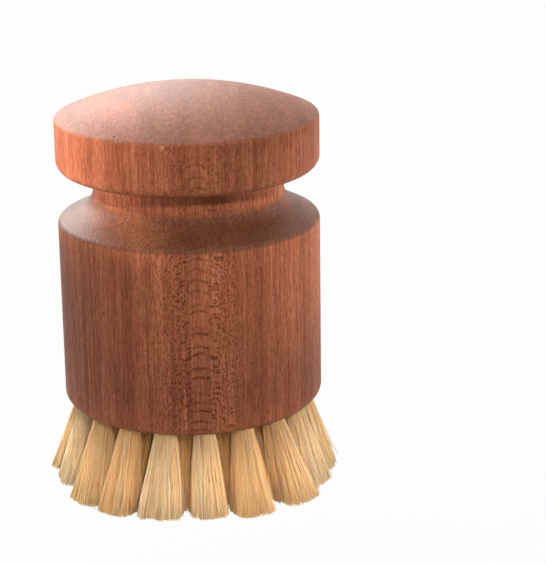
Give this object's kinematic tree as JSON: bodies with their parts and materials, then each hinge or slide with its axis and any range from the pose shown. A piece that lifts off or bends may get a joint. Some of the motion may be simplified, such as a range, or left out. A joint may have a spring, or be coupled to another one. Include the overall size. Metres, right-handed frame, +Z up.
{
  "type": "scrub brush",
  "caption": "Round hand scrub brush: a turned wooden body and domed knob with a waisted neck, and rings of flared plant-fibre tufts set in its underside.",
  "frame": {"origin": "middle of the brush on the plane of its bristle tips, which it stands on", "axes": "+Z up along the turning axis from the bristles to the knob; -Y faces the camera of the picture"},
  "size_m": [0.061, 0.0606, 0.084],
  "materials": {
    "wood": "satin",
    "bristle": "matte",
    "anchor": "satin"
  },
  "bodies": {
    "root": {"handle": "wood", "outer_ring_tufts": "bristle", "middle_ring_tufts": "bristle", "inner_ring_tufts": "bristle", "centre_tuft": "bristle", "outer_ring_anchor_01": "anchor", "outer_ring_anchor_02": "anchor", "outer_ring_anchor_03": "anchor", "outer_ring_anchor_04": "anchor", "outer_ring_anchor_05": "anchor", "outer_ring_anchor_06": "anchor", "outer_ring_anchor_07": "anchor", "outer_ring_anchor_08": "anchor", "outer_ring_anchor_09": "anchor", "outer_ring_anchor_10": "anchor", "outer_ring_anchor_11": "anchor", "outer_ring_anchor_12": "anchor", "outer_ring_anchor_13": "anchor", "outer_ring_anchor_14": "anchor", "outer_ring_anchor_15": "anchor", "outer_ring_anchor_16": "anchor", "outer_ring_anchor_17": "anchor", "outer_ring_anchor_18": "anchor", "middle_ring_anchor_01": "anchor", "middle_ring_anchor_02": "anchor", "middle_ring_anchor_03": "anchor", "middle_ring_anchor_04": "anchor", "middle_ring_anchor_05": "anchor", "middle_ring_anchor_06": "anchor", "middle_ring_anchor_07": "anchor", "middle_ring_anchor_08": "anchor", "middle_ring_anchor_09": "anchor", "middle_ring_anchor_10": "anchor", "middle_ring_anchor_11": "anchor", "middle_ring_anchor_12": "anchor", "inner_ring_anchor_01": "anchor", "inner_ring_anchor_02": "anchor", "inner_ring_anchor_03": "anchor", "inner_ring_anchor_04": "anchor", "inner_ring_anchor_05": "anchor", "inner_ring_anchor_06": "anchor", "centre_anchor": "anchor"}
  },
  "joints": []
}
